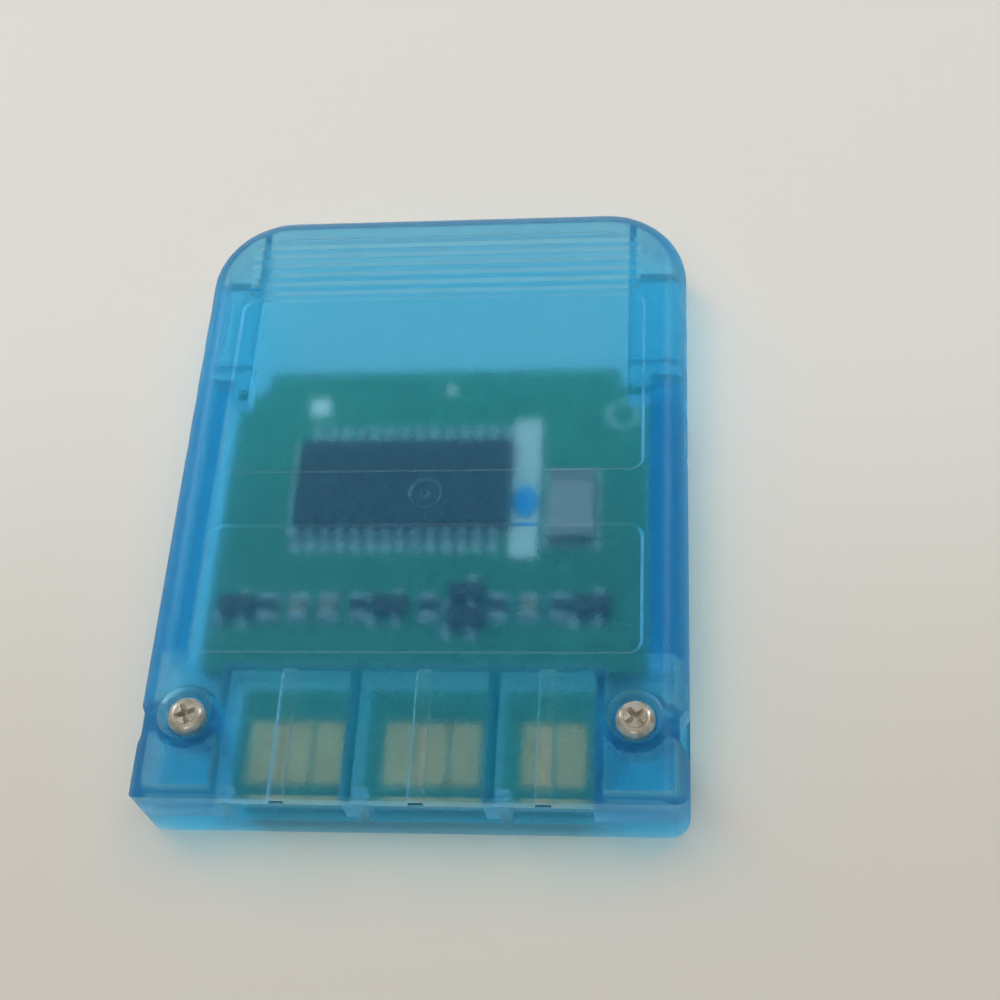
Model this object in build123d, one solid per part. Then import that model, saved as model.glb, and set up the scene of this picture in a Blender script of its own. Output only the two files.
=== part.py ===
from build123d import *
import os

# Console memory card: a two-part translucent case round a small circuit board.
# Millimetres. The card lies on its label face, screw side up. X runs across it, +Y points to the
# grip end, -Y to the mouth where the console's contacts enter. The origin is under its middle.

# Layers from the label face upwards
floor_thickness = 1.2
board_standoff = 0.4
board_thickness = 1.2
component_space = 3.5
roof_thickness = 1.2
seam_above_board = 0.6

# Case outline and walls
card_width = 42.0
card_length = 55.0
side_wall = 1.3
grip_corner_radius = 7.0
mouth_corner_radius = 1.5
least_corner_radius = 0.4
rear_edge_radius = 2.2
label_edge_radius = 0.8
mouth_edge_radius = 0.35

# Lap joint along the seam
lap_thickness = 0.6
lap_height = 0.8
lap_clearance = 0.08
lap_mouth_setback = 9.0

# Grip scallops down the long sides
scallop_count = 4
scallop_pitch = 4.6
scallop_depth = 0.3
scallop_radius = 6.0
scallop_grip_setback = 10.1

# Notches in the rear shell for the console's catch, and the step that keys it
notch_mouth_setback = 5.9
notch_floor_length = 1.8
notch_ramp_length = 1.3
notch_depth = 0.75
key_step_width = 0.45

# Grip ridges: fine grooves across the far end of the rear face
ridge_groove_count = 7
ridge_groove_pitch = 1.02
ridge_groove_width = 0.62
ridge_groove_depth = 0.2
ridge_grip_setback = 2.9
ridge_side_margin = 3.9

# Sunk panels and moulding gate on the rear face
panel_side_margin = 3.7
panel_corner_radius = 1.0
panel_depth = 0.15
panel_edge_slope = 60.0
far_panel_setback = 9.8
far_panel_length = 17.2
near_panel_setback = 32.3
near_panel_length = 10.8
gate_setback = 29.2
gate_diameter = 2.8
gate_depth = 0.25
gate_nub_diameter = 0.9

# Label recess and insertion arrow on the label face
label_side_margin = 4.5
label_grip_setback = 4.0
label_length = 32.0
label_recess_depth = 0.25
label_corner_radius = 1.5
arrow_width = 6.0
arrow_length = 4.0
arrow_gap = 4.0

# Contact fingers, counted across the mouth
finger_groups = (3, 3, 2)
finger_width = 2.25
finger_gap = 0.3
finger_length = 5.0
finger_thickness = 0.05
finger_edge_setback = 0.8
group_space = 3.25
key_side_margin = 1.2
plain_side_margin = 0.8

# Contact chambers under the rear face
chamber_length = 10.5
chamber_wall = 0.7
divider_wall = 0.9
divider_shift = 0.4
divider_mouth_setback = 0.3
board_clearance = 0.1
roof_groove_width = 1.2
roof_groove_depth = 0.7
post_width = 0.9
post_clearance = 0.15
key_post_width = 1.0

# Guide rails, pads and cross ribs inside the grip end of the rear shell
rail_side_setback = 4.9
rail_wall = 0.6
rail_depth = 2.6
rail_length = 14.5
pad_thickness = 1.8
pad_length = 12.4
pad_grip_setback = 7.1
cross_rib_wall = 0.5
cross_rib_setback = 8.6

# Screws and their bosses
rear_boss_diameter = 5.2
front_boss_diameter = 4.4
boss_clearance = 0.1
boss_mouth_setback = 6.7
head_diameter = 3.0
head_height = 1.0
head_edge_bevel = 0.35
head_sink = 0.1
head_clearance = 0.15
head_recess_diameter = 4.2
cross_slot_length = 1.9
cross_slot_width = 0.4
cross_slot_depth = 0.5
shank_diameter = 1.9
shank_length = 4.6
shank_clearance = 0.15
thread_clearance = 0.03
tip_clearance = 0.3

# Circuit board
board_front_gap = 0.6
board_side_gap = 1.9
tongue_length = 10.2
tongue_clearance = 0.2
corner_step_width = 2.6
corner_step_length = 2.2
corner_step_slant = 0.5
board_far_margin = 11.75
board_rail_width = 1.0
board_rail_side_margin = 2.8
board_rail_length = 22.0
ledge_clearance = 0.1
ear_pad_height = 2.0

# Memory chip
chip_pin_pitch = 1.27
chip_pins_per_side = 14
chip_end_margin = 0.75
chip_body_width = 8.0
chip_body_height = 1.1
chip_standoff = 0.15
chip_shift = -2.65
chip_gap = 11.15
chip_mark_diameter = 1.0
chip_mark_depth = 0.1
mould_draft = 8.0

# Gull-wing leads, for the chip and for the small moulded parts
lead_thickness = 0.18
lead_leg_run = 0.3
chip_lead_width = 0.45
chip_lead_reach = 1.7
small_lead_width = 0.5
small_lead_reach = 0.7

# Marking strip, lacquer drop and resonator, right of the chip
label_gap = 0.15
strip_width = 2.3
strip_length = 13.2
strip_thickness = 0.1
dot_width = 2.1
dot_length = 3.2
dot_height = 0.35
dot_shift = 1.5
resonator_gap = 0.95
resonator_width = 3.6
resonator_length = 6.2
resonator_height = 1.2
resonator_cap_length = 0.8
resonator_cap_step = 0.08
resonator_shift = -2.2

# Row of small parts between the chip and the contacts
row_gap = 5.5
row_left_margin = 2.4
row_right_margin = 4.4
moulded_length = 2.9
moulded_width = 1.5
moulded_height = 1.0
moulded_standoff = 0.1
small_pin_pitch = 1.9
regulator_space = 0.55
regulator_stagger = 1.1
chip_part_width = 1.25
chip_part_length = 2.0
chip_part_height = 0.6
chip_part_end_length = 0.4
chip_part_end_step = 0.03
left_row_count = 4
right_row_count = 3

# Places that follow from the sizes above
half_width = card_width / 2
grip_end = card_length / 2
mouth_end = -card_length / 2
board_bottom = floor_thickness + board_standoff
board_top = board_bottom + board_thickness
roof_underside = board_top + component_space
card_thickness = roof_underside + roof_thickness
seam_height = board_top + seam_above_board
finger_count = sum(finger_groups)
fingers_width = finger_count * finger_width + (finger_count - len(finger_groups)) * finger_gap
mouth_width = fingers_width + (len(finger_groups) - 1) * group_space + key_side_margin + plain_side_margin
mouth_half = mouth_width / 2
chamber_back = mouth_end + chamber_length
boss_x = mouth_half + chamber_wall + boss_clearance + front_boss_diameter / 2
boss_y = mouth_end + boss_mouth_setback
head_seat = card_thickness - head_sink - head_height
notch_y = mouth_end + notch_mouth_setback
web_inset = (side_wall + notch_depth) / 2
board_front = mouth_end + side_wall + board_front_gap
board_half = half_width - side_wall - board_side_gap
tongue_end = board_front + tongue_length
row_y = tongue_end + row_gap
chip_y = row_y + chip_gap
board_far = chip_y + board_far_margin
chip_length = (chip_pins_per_side - 1) * chip_pin_pitch + 2 * chip_end_margin
strip_x = chip_shift + chip_length / 2 + label_gap + strip_width / 2
resonator_x = strip_x + strip_width / 2 + resonator_gap + resonator_width / 2
row_start = row_left_margin - board_half
row_finish = board_half - row_right_margin
row_steps = (left_row_count + 1) + 2 + (right_row_count + 1)
row_pitch = (row_finish - row_start - 2 * regulator_space) / row_steps
second_x = row_start + (left_row_count + 1) * row_pitch
regulator_x = row_finish - (right_row_count + 1) * row_pitch
on_floor = (Align.CENTER, Align.CENTER, Align.MIN)


def block(x_limits, y_limits, z_limits):
    """Box between a low and a high limit along each axis."""
    low, high = zip(x_limits, y_limits, z_limits)
    size = [b - a for a, b in zip(low, high)]
    return Pos(*low) * Box(*size, align=(Align.MIN, Align.MIN, Align.MIN))


def card_plan(inset=0.0):
    """Card outline from above, drawn in by an inset."""
    outline = Rectangle(card_width - 2 * inset, card_length - 2 * inset)
    outline = fillet(outline.vertices().group_by(Axis.Y)[-1], grip_corner_radius - inset)
    mouth_radius = max(mouth_corner_radius - inset, least_corner_radius)
    return fillet(outline.vertices().group_by(Axis.Y)[0], mouth_radius)


def card_blank():
    """Whole card as one solid: rounded long edges and grip end, mouth end cut off with a small rear edge."""
    overrun = rear_edge_radius + label_edge_radius
    slab = Pos(0, -overrun / 2) * Rectangle(card_width, card_length + overrun)
    slab = fillet(slab.vertices().group_by(Axis.Y)[-1], grip_corner_radius)
    blank = extrude(slab, card_thickness)
    rear_edges = blank.faces().sort_by(Axis.Z)[-1].edges().sort_by(Axis.Y)[1:]
    blank = fillet(rear_edges, rear_edge_radius)
    label_edges = blank.faces().sort_by(Axis.Z)[0].edges().sort_by(Axis.Y)[1:]
    blank = fillet(label_edges, label_edge_radius)
    prism = extrude(card_plan(), card_thickness)
    return blank & fillet(prism.edges().group_by(Axis.Z)[-1], mouth_edge_radius)


def grip_scallops():
    """Shallow hollows down both long sides, to hold the card by."""
    hollow = Cylinder(scallop_radius, card_thickness, align=on_floor)
    reach = half_width + scallop_radius - scallop_depth
    first = grip_end - scallop_grip_setback
    rows = [first - n * scallop_pitch for n in range(scallop_count)]
    return [Pos(side * reach, y) * hollow for side in (-1, 1) for y in rows]


def catch_notches():
    """Ramped notches near the mouth, one on each long side."""
    half_floor = notch_floor_length / 2
    half_open = half_floor + 2 * notch_ramp_length
    corners = [(0, half_floor), (0, -half_floor), (2 * notch_depth, -half_open), (2 * notch_depth, half_open)]
    outline = Polygon(*corners, align=None)
    notch = extrude(outline, card_thickness)
    reach = half_width - notch_depth
    return [Pos(reach, notch_y) * notch, Pos(-reach, notch_y) * Rot(0, 0, 180) * notch]


def case_body():
    """Outside of the closed case, with its grips, before it is hollowed and halved."""
    return card_blank() - grip_scallops()


def cavity():
    """Space inside the case."""
    return Pos(0, 0, floor_thickness) * extrude(card_plan(side_wall), roof_underside - floor_thickness)


def lap_band(play):
    """Outer part of the seam's lap joint: the tongue's outline, widened and deepened by the play."""
    height = lap_height + play
    band = extrude(card_plan(side_wall - lap_thickness - play), height)
    past_catches = mouth_end + lap_mouth_setback - play
    kept = block((-half_width, half_width), (past_catches, grip_end), (0, height))
    return Pos(0, 0, seam_height - height) * (band & kept)


def chamber_limits():
    """Limits across X of the contact chambers, between the walls of the rear shell."""
    walls = divider_limits()
    lows = [-mouth_half] + [high for low, high in walls]
    highs = [low for low, high in walls] + [mouth_half]
    return list(zip(lows, highs))


def finger_places():
    """Middle of each contact finger across X, group by group."""
    places = []
    x = -mouth_half + key_side_margin + finger_width / 2
    for count in finger_groups:
        places.append([x + n * (finger_width + finger_gap) for n in range(count)])
        x = places[-1][-1] + finger_width + group_space
    return places


def divider_limits():
    """Limits across X of the walls that part one group of contacts from the next."""
    groups = finger_places()
    middles = [(left[-1] + right[0]) / 2 - divider_shift for left, right in zip(groups, groups[1:])]
    return [(x - divider_wall / 2, x + divider_wall / 2) for x in middles]


def contact_chambers():
    """Walls that hang from the rear roof and box in the contact fingers."""
    wall_bottom = board_top + board_clearance
    heights = (wall_bottom, roof_underside + roof_thickness / 2)
    outer = mouth_half + chamber_wall
    walls = [block((-outer, outer), (chamber_back, chamber_back + chamber_wall), heights)]
    for low, high in ((-outer, -mouth_half), (mouth_half, outer)):
        walls.append(block((low, high), (mouth_end + side_wall, chamber_back), heights))
    for limits in divider_limits():
        walls.append(block(limits, (mouth_end + divider_mouth_setback, chamber_back), heights))
    return walls


def roof_grooves():
    """Relief along the middle of each chamber's roof, open at the mouth."""
    heights = (roof_underside, roof_underside + roof_groove_depth)
    half = roof_groove_width / 2
    middles = [(low + high) / 2 for low, high in chamber_limits()]
    return [block((x - half, x + half), (mouth_end, chamber_back), heights) for x in middles]


def grip_rails():
    """Rails, pads and cross ribs that stiffen the grip end of the rear shell."""
    rail_x = half_width - rail_side_setback
    heights = (roof_underside - rail_depth, roof_underside + roof_thickness / 2)
    pad_heights = (roof_underside - pad_thickness, roof_underside + roof_thickness / 2)
    pad_far = grip_end - pad_grip_setback
    rib_y = pad_far - cross_rib_setback
    rail = block((rail_x, rail_x + rail_wall), (grip_end - rail_length, grip_end), heights)
    pad = block((rail_x, half_width), (pad_far - pad_length, pad_far), pad_heights)
    rib = block((rail_x, half_width), (rib_y, rib_y + cross_rib_wall), heights)
    inside = extrude(card_plan(web_inset), card_thickness)
    right = (rail + pad + rib) & inside
    return right + mirror(right, Plane.YZ)


def edge_ribs():
    """Thick side walls of the rear shell, down both edges of the board."""
    across = (board_half + ledge_clearance, half_width - web_inset)
    heights = (seam_height, roof_underside + roof_thickness / 2)
    right = block(across, (tongue_end, board_far - corner_step_length), heights)
    return right + mirror(right, Plane.YZ)


def screw_places():
    """Locations of the two case screws."""
    return [Pos(-boss_x, boss_y), Pos(boss_x, boss_y)]


def screw_bosses(diameter, bottom, top):
    """Round boss at both screws, tied to the side wall, between two heights."""
    inside = extrude(card_plan(web_inset), card_thickness)
    boss = Pos(0, 0, bottom) * Cylinder(diameter / 2, top - bottom, align=on_floor)
    web = block((0, half_width - boss_x), (-diameter / 4, diameter / 4), (bottom, top))
    right = screw_places()[1] * (boss + web)
    return (right + mirror(right, Plane.YZ)) & inside


def ridge_grooves():
    """Fine V grooves across the grip end, kept inside a margin from the outline."""
    half = ridge_groove_width / 2
    section = Polygon((-half, 0), (0, -ridge_groove_depth), (half, 0), align=None)
    groove = extrude(Plane.YZ * section, half_width - ridge_side_margin, both=True)
    region = extrude(card_plan(ridge_side_margin - ridge_groove_pitch), card_thickness)
    rows = [grip_end - ridge_grip_setback - n * ridge_groove_pitch for n in range(ridge_groove_count)]
    return [Pos(0, y, card_thickness) * groove & region for y in rows]


def rear_panels():
    """Two sunk panels with rounded corners and sloped edges, on the rear face."""
    cuts = []
    for setback, length in ((far_panel_setback, far_panel_length), (near_panel_setback, near_panel_length)):
        outline = RectangleRounded(card_width - 2 * panel_side_margin, length, panel_corner_radius)
        middle = grip_end - setback - length / 2
        cut = extrude(outline, panel_depth, taper=-panel_edge_slope)
        cuts.append(Pos(0, middle, card_thickness - panel_depth) * cut)
    return cuts


def gate_mark():
    """Round dimple with sloped sides and a blunt nub, where the mould was filled."""
    dimple = Cone(gate_diameter / 2 - gate_depth, gate_diameter / 2, gate_depth, align=on_floor)
    dimple -= Cone(gate_nub_diameter / 2, gate_nub_diameter / 2 - gate_depth, gate_depth, align=on_floor)
    return Pos(0, grip_end - gate_setback, card_thickness - gate_depth) * dimple


def rear_shell():
    """Screw-side half of the case."""
    shell = split(case_body(), Plane.XY.offset(seam_height), keep=Keep.TOP) - cavity()
    shell -= catch_notches()
    key_step = (-half_width, key_step_width - half_width)
    shell -= block(key_step, (mouth_end, notch_y), (seam_height, card_thickness))
    inside = extrude(card_plan(side_wall), card_thickness)
    shell += lap_band(0) - inside
    end_wall = (mouth_end, mouth_end + side_wall)
    shell -= block((-mouth_half, mouth_half), end_wall, (seam_height, roof_underside))
    shell += contact_chambers()
    shell += grip_rails()
    shell += edge_ribs()
    shell += screw_bosses(rear_boss_diameter, seam_height, roof_underside + roof_thickness / 2)
    shell -= roof_grooves()
    shell -= ridge_grooves()
    shell -= rear_panels()
    shell -= gate_mark()
    bore = Cylinder(shank_diameter / 2 + shank_clearance, card_thickness, align=on_floor)
    seat_radius = head_diameter / 2 + head_clearance
    recess = Cone(seat_radius, head_recess_diameter / 2, card_thickness - head_seat, align=on_floor)
    return shell - [place * (bore + Pos(0, 0, head_seat) * recess) for place in screw_places()]


def mouth_posts():
    """Posts on the mouth's sill: one beside each divider and the key post at one end."""
    left_limits = [high + post_clearance for low, high in divider_limits()]
    spans = [(x, x + post_width) for x in left_limits]
    key_start = -mouth_half + post_clearance
    spans.append((key_start, key_start + key_post_width))
    heights = (floor_thickness, roof_underside - post_clearance)
    return [block(span, (mouth_end, mouth_end + side_wall), heights) for span in spans]


def board_rails():
    """Low rails on the floor that carry the circuit board, and one under its tongue."""
    heights = (floor_thickness / 2, board_bottom)
    x = board_half - board_rail_side_margin
    length = (tongue_end, tongue_end + board_rail_length)
    tongue_y = board_front + finger_length / 2
    sides = [block((side - board_rail_width, side), length, heights) for side in (x, board_rail_width - x)]
    across = (tongue_y - board_rail_width / 2, tongue_y + board_rail_width / 2)
    return sides + [block((tongue_clearance - mouth_half, mouth_half - tongue_clearance), across, heights)]


def side_ledges():
    """Ledges between the board and the side walls, stepped down beside the rear shell's lap."""
    inner = board_half + ledge_clearance
    lap_bottom = seam_height - lap_height - lap_clearance
    length = (tongue_end, board_far - corner_step_length)
    low = block((inner, half_width - web_inset), length, (floor_thickness / 2, lap_bottom))
    lap_face = half_width - side_wall - ledge_clearance
    high = block((inner, lap_face), length, (floor_thickness / 2, seam_height - ledge_clearance))
    right = low + high
    return right + mirror(right, Plane.YZ)


def ear_pads():
    """Raised floor in both corners beside the mouth."""
    across = (mouth_half + chamber_wall, half_width - web_inset)
    along = (mouth_end + side_wall / 2, boss_y)
    right = block(across, along, (floor_thickness / 2, floor_thickness + ear_pad_height))
    return right + mirror(right, Plane.YZ)


def label_face_cuts():
    """Label recess and insertion arrow on the outside of the floor."""
    outline = RectangleRounded(card_width - 2 * label_side_margin, label_length, label_corner_radius)
    label_middle = grip_end - label_grip_setback - label_length / 2
    arrow = Polygon((-arrow_width / 2, 0), (0, -arrow_length), (arrow_width / 2, 0), align=None)
    arrow_y = grip_end - label_grip_setback - label_length - arrow_gap
    return [
        Pos(0, label_middle) * extrude(outline, label_recess_depth),
        Pos(0, arrow_y) * extrude(arrow, label_recess_depth),
    ]


def front_shell():
    """Label-side half of the case."""
    shell = split(case_body(), Plane.XY.offset(seam_height), keep=Keep.BOTTOM) - cavity()
    shell -= lap_band(lap_clearance)
    shell -= block((-mouth_half, mouth_half), (mouth_end, mouth_end + side_wall), (board_top, seam_height))
    shell += screw_bosses(front_boss_diameter, floor_thickness / 2, seam_height)
    shell += board_rails()
    shell += side_ledges()
    shell += ear_pads()
    shell += mouth_posts()
    shell -= label_face_cuts()
    tip = head_seat - shank_length - tip_clearance
    pilot = Pos(0, 0, tip) * Cylinder(shank_diameter / 2 + thread_clearance, card_thickness, align=on_floor)
    return shell - [place * pilot for place in screw_places()]


def case_screws():
    """Two pan-head screws with a cross recess."""
    head = Cylinder(head_diameter / 2, head_height, align=on_floor)
    head = chamfer(head.edges().group_by(Axis.Z)[-1], head_edge_bevel)
    slot = Box(cross_slot_length, cross_slot_width, 2 * cross_slot_depth)
    head -= [Pos(0, 0, head_height) * Rot(0, 0, turn) * slot for turn in (0, 90)]
    shank = Cylinder(shank_diameter / 2, shank_length, align=(Align.CENTER, Align.CENTER, Align.MAX))
    screw = Pos(0, 0, head_seat) * (head + shank)
    return Compound(children=[place * screw for place in screw_places()])


def circuit_board():
    """Board with a contact tongue at the mouth and stepped corners at the far end."""
    tongue_half = mouth_half - tongue_clearance
    step_x = board_half - corner_step_width
    step_y = board_far - corner_step_length
    half = [
        (tongue_half, board_front),
        (tongue_half, tongue_end),
        (board_half, tongue_end),
        (board_half, step_y),
        (step_x + corner_step_slant, step_y),
        (step_x, board_far),
    ]
    outline = Polygon(*half, *[(-x, y) for x, y in reversed(half)], align=None)
    return Pos(0, 0, board_bottom) * extrude(outline, board_thickness)


def contact_fingers():
    """Gold contacts on the board's tongue."""
    finger = Box(finger_width, finger_length, finger_thickness, align=(Align.CENTER, Align.MIN, Align.MIN))
    row = [x for group in finger_places() for x in group]
    return [Pos(x, board_front + finger_edge_setback, board_top) * finger for x in row]


def moulded_body(length, width, height):
    """Moulded package with drafted sides, widest at half its height."""
    upper = extrude(Rectangle(length, width), height / 2, taper=mould_draft)
    return Pos(0, 0, height / 2) * (upper + mirror(upper, Plane.XY))


def gull_lead(width, reach, shoulder_height):
    """Bent lead that leaves a package along +Y and stands on the board."""
    half = lead_thickness / 2
    bend = (reach - lead_leg_run) / 2
    foot = bend + lead_leg_run
    outline = Polygon(
        (0, shoulder_height + half), (bend + half, shoulder_height + half), (foot + half, lead_thickness),
        (reach, lead_thickness), (reach, 0), (foot - half, 0),
        (bend - half, shoulder_height - half), (0, shoulder_height - half), align=None,
    )
    return Pos(width / 2) * extrude(Plane.YZ * outline, -width)


def memory_chip():
    """Body of the memory chip, with its first-pin mark."""
    body = moulded_body(chip_length, chip_body_width, chip_body_height)
    mark = Cylinder(chip_mark_diameter / 2, chip_mark_depth, align=(Align.CENTER, Align.CENTER, Align.MAX))
    inset = 2 * chip_mark_diameter
    body -= Pos(inset - chip_length / 2, chip_body_width / 2 - inset, chip_body_height) * mark
    return Pos(chip_shift, chip_y, board_top + chip_standoff) * body


def chip_leads():
    """Leads down both long sides of the memory chip."""
    lead = gull_lead(chip_lead_width, chip_lead_reach, chip_standoff + chip_body_height / 2)
    first = -(chip_pins_per_side - 1) * chip_pin_pitch / 2
    row = [Pos(first + n * chip_pin_pitch, chip_body_width / 2) * lead for n in range(chip_pins_per_side)]
    both = row + [Rot(0, 0, 180) * lead for lead in row]
    return Compound(children=[Pos(chip_shift, chip_y, board_top) * lead for lead in both])


def resonator():
    """Ceramic resonator's block."""
    length = resonator_length - 2 * resonator_cap_length
    body = Box(resonator_width, length, resonator_height, align=on_floor)
    return Pos(resonator_x, chip_y + resonator_shift, board_top) * body


def resonator_caps():
    """Metal ends of the resonator."""
    width = resonator_width + 2 * resonator_cap_step
    cap = Box(width, resonator_cap_length, resonator_height + resonator_cap_step, align=on_floor)
    reach = (resonator_length - resonator_cap_length) / 2
    places = [Pos(resonator_x, chip_y + resonator_shift + end * reach, board_top) for end in (-1, 1)]
    return Compound(children=[place * cap for place in places])


def marking_label():
    """Thin white strip beside the chip."""
    strip = Box(strip_width, strip_length, strip_thickness, align=on_floor)
    return Pos(strip_x, chip_y, board_top) * strip


def lacquer_dot():
    """Flat oval drop on the strip."""
    oval = extrude(Rot(0, 0, 90) * SlotOverall(dot_length, dot_width), dot_height)
    return Pos(strip_x, chip_y - dot_shift, board_top + strip_thickness) * oval


def moulded_places():
    """Locations of the small moulded parts: both ends of the row, and the middle ones."""
    return [
        Pos(row_start, row_y),
        Pos(second_x, row_y),
        Pos(regulator_x, row_y - regulator_stagger),
        Pos(regulator_x, row_y + regulator_stagger),
        Pos(row_finish, row_y),
    ]


def transistors():
    """Small moulded parts, each with two leads towards the mouth and one away from it."""
    body = moulded_body(moulded_length, moulded_width, moulded_height)
    height = Pos(0, 0, board_top + moulded_standoff)
    return [place * height * body for place in moulded_places()]


def transistor_leads():
    """Leads of the small moulded parts."""
    lead = gull_lead(small_lead_width, small_lead_reach, moulded_standoff + moulded_height / 2)
    far = Pos(0, moulded_width / 2, board_top) * lead
    near = [Pos(x, -moulded_width / 2, board_top) * Rot(0, 0, 180) * lead
            for x in (-small_pin_pitch / 2, small_pin_pitch / 2)]
    return Compound(children=[place * lead for place in moulded_places() for lead in [far] + near])


def chip_part_places():
    """Locations of the resistors and capacitors, spread between the moulded parts of the row."""
    left = [row_start + (n + 1) * row_pitch for n in range(left_row_count)]
    middle = [(second_x + regulator_x) / 2]
    right = [regulator_x + (n + 1) * row_pitch for n in range(right_row_count)]
    return [Pos(x, row_y, board_top) for x in left + middle + right]


def chip_parts():
    """Bodies of the resistors and capacitors."""
    length = chip_part_length - 2 * chip_part_end_length
    body = Box(chip_part_width, length, chip_part_height, align=on_floor)
    return [place * body for place in chip_part_places()]


def chip_part_ends():
    """Tinned ends of the resistors and capacitors."""
    width = chip_part_width + 2 * chip_part_end_step
    end = Box(width, chip_part_end_length, chip_part_height + chip_part_end_step, align=on_floor)
    reach = (chip_part_length - chip_part_end_length) / 2
    ends = [Pos(0, side * reach) * end for side in (-1, 1)]
    return Compound(children=[place * part for place in chip_part_places() for part in ends])


def numbered(name, solids):
    """Nodes of a repeated piece, named by number."""
    return {f"{name}_{n}": solid for n, solid in enumerate(solids, start=1)}


nodes = {
    "rear_shell": rear_shell(),
    "front_shell": front_shell(),
    "case_screws": case_screws(),
    "circuit_board": circuit_board(),
    "memory_chip": memory_chip(),
    "chip_leads": chip_leads(),
    "resonator": resonator(),
    "resonator_caps": resonator_caps(),
    "marking_label": marking_label(),
    "lacquer_dot": lacquer_dot(),
    "transistor_leads": transistor_leads(),
    "chip_part_ends": chip_part_ends(),
    **numbered("contact_finger", contact_fingers()),
    **numbered("transistor", transistors()),
    **numbered("chip_part", chip_parts()),
}

os.makedirs("parts", exist_ok=True)
for name, shape in nodes.items():
    export_step(shape, f"parts/{name}.step")
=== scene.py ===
import logging
import math
from dataclasses import dataclass
from enum import Enum
from typing import Any, Iterable, Sequence

import bmesh
import bpy
from mathutils import Matrix, Vector


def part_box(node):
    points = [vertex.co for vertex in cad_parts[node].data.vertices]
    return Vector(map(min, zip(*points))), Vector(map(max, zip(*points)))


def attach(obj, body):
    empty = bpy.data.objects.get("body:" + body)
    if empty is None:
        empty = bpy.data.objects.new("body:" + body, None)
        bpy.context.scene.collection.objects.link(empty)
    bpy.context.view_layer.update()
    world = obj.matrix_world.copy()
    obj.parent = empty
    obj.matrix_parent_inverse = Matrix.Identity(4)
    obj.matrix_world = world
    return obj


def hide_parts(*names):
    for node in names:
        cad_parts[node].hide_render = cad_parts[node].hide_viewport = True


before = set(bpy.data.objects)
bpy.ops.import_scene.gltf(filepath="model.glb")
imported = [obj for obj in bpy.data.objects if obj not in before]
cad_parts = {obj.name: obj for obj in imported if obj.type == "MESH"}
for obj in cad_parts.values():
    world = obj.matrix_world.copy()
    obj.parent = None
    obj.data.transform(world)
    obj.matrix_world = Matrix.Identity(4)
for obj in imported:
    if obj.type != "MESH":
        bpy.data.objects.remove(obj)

# A console memory card: frosted blue case halves round a small circuit board.
# Lengths below are in millimetres, and the frame is in metres.
MM = 0.001
BODY = "root"
# Points closer than this, in metres, are welded into one.
WELD = 1e-7
# Flats round the printed ring and the lacquer drop.
ROUND_STEPS = 40

Colour = tuple[float, float, float]
BLACK: Colour = (0.0, 0.0, 0.0)
WHITE: Colour = (1.0, 1.0, 1.0)
log = logging.getLogger("memory_card")


class Slot(Enum):
    """Names of material slots; nothing in this script uses them."""

    SCREW = "screw"
    TINNED = "tinned"
    LABEL = "label"
    LACQUER = "lacquer"


class Side(Enum):
    """The two ends of something, along one axis."""

    LOW = -1
    HIGH = 1


def screen(red: int, green: int, blue: int) -> Colour:
    """Turns a colour as a screen shows it into the linear colour of a shader.

    Args:
        red: Red from 0 to 255.
        green: Green from 0 to 255.
        blue: Blue from 0 to 255.

    Returns:
        The linear colour.
    """
    shares = [value / 255 for value in (red, green, blue)]
    return tuple(s / 12.92 if s <= 0.04045 else ((s + 0.055) / 1.055) ** 2.4 for s in shares)


def opaque(colour: Colour) -> tuple[float, float, float, float]:
    """Adds full cover to a colour, as sockets take it."""
    return (*colour, 1.0)


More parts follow.
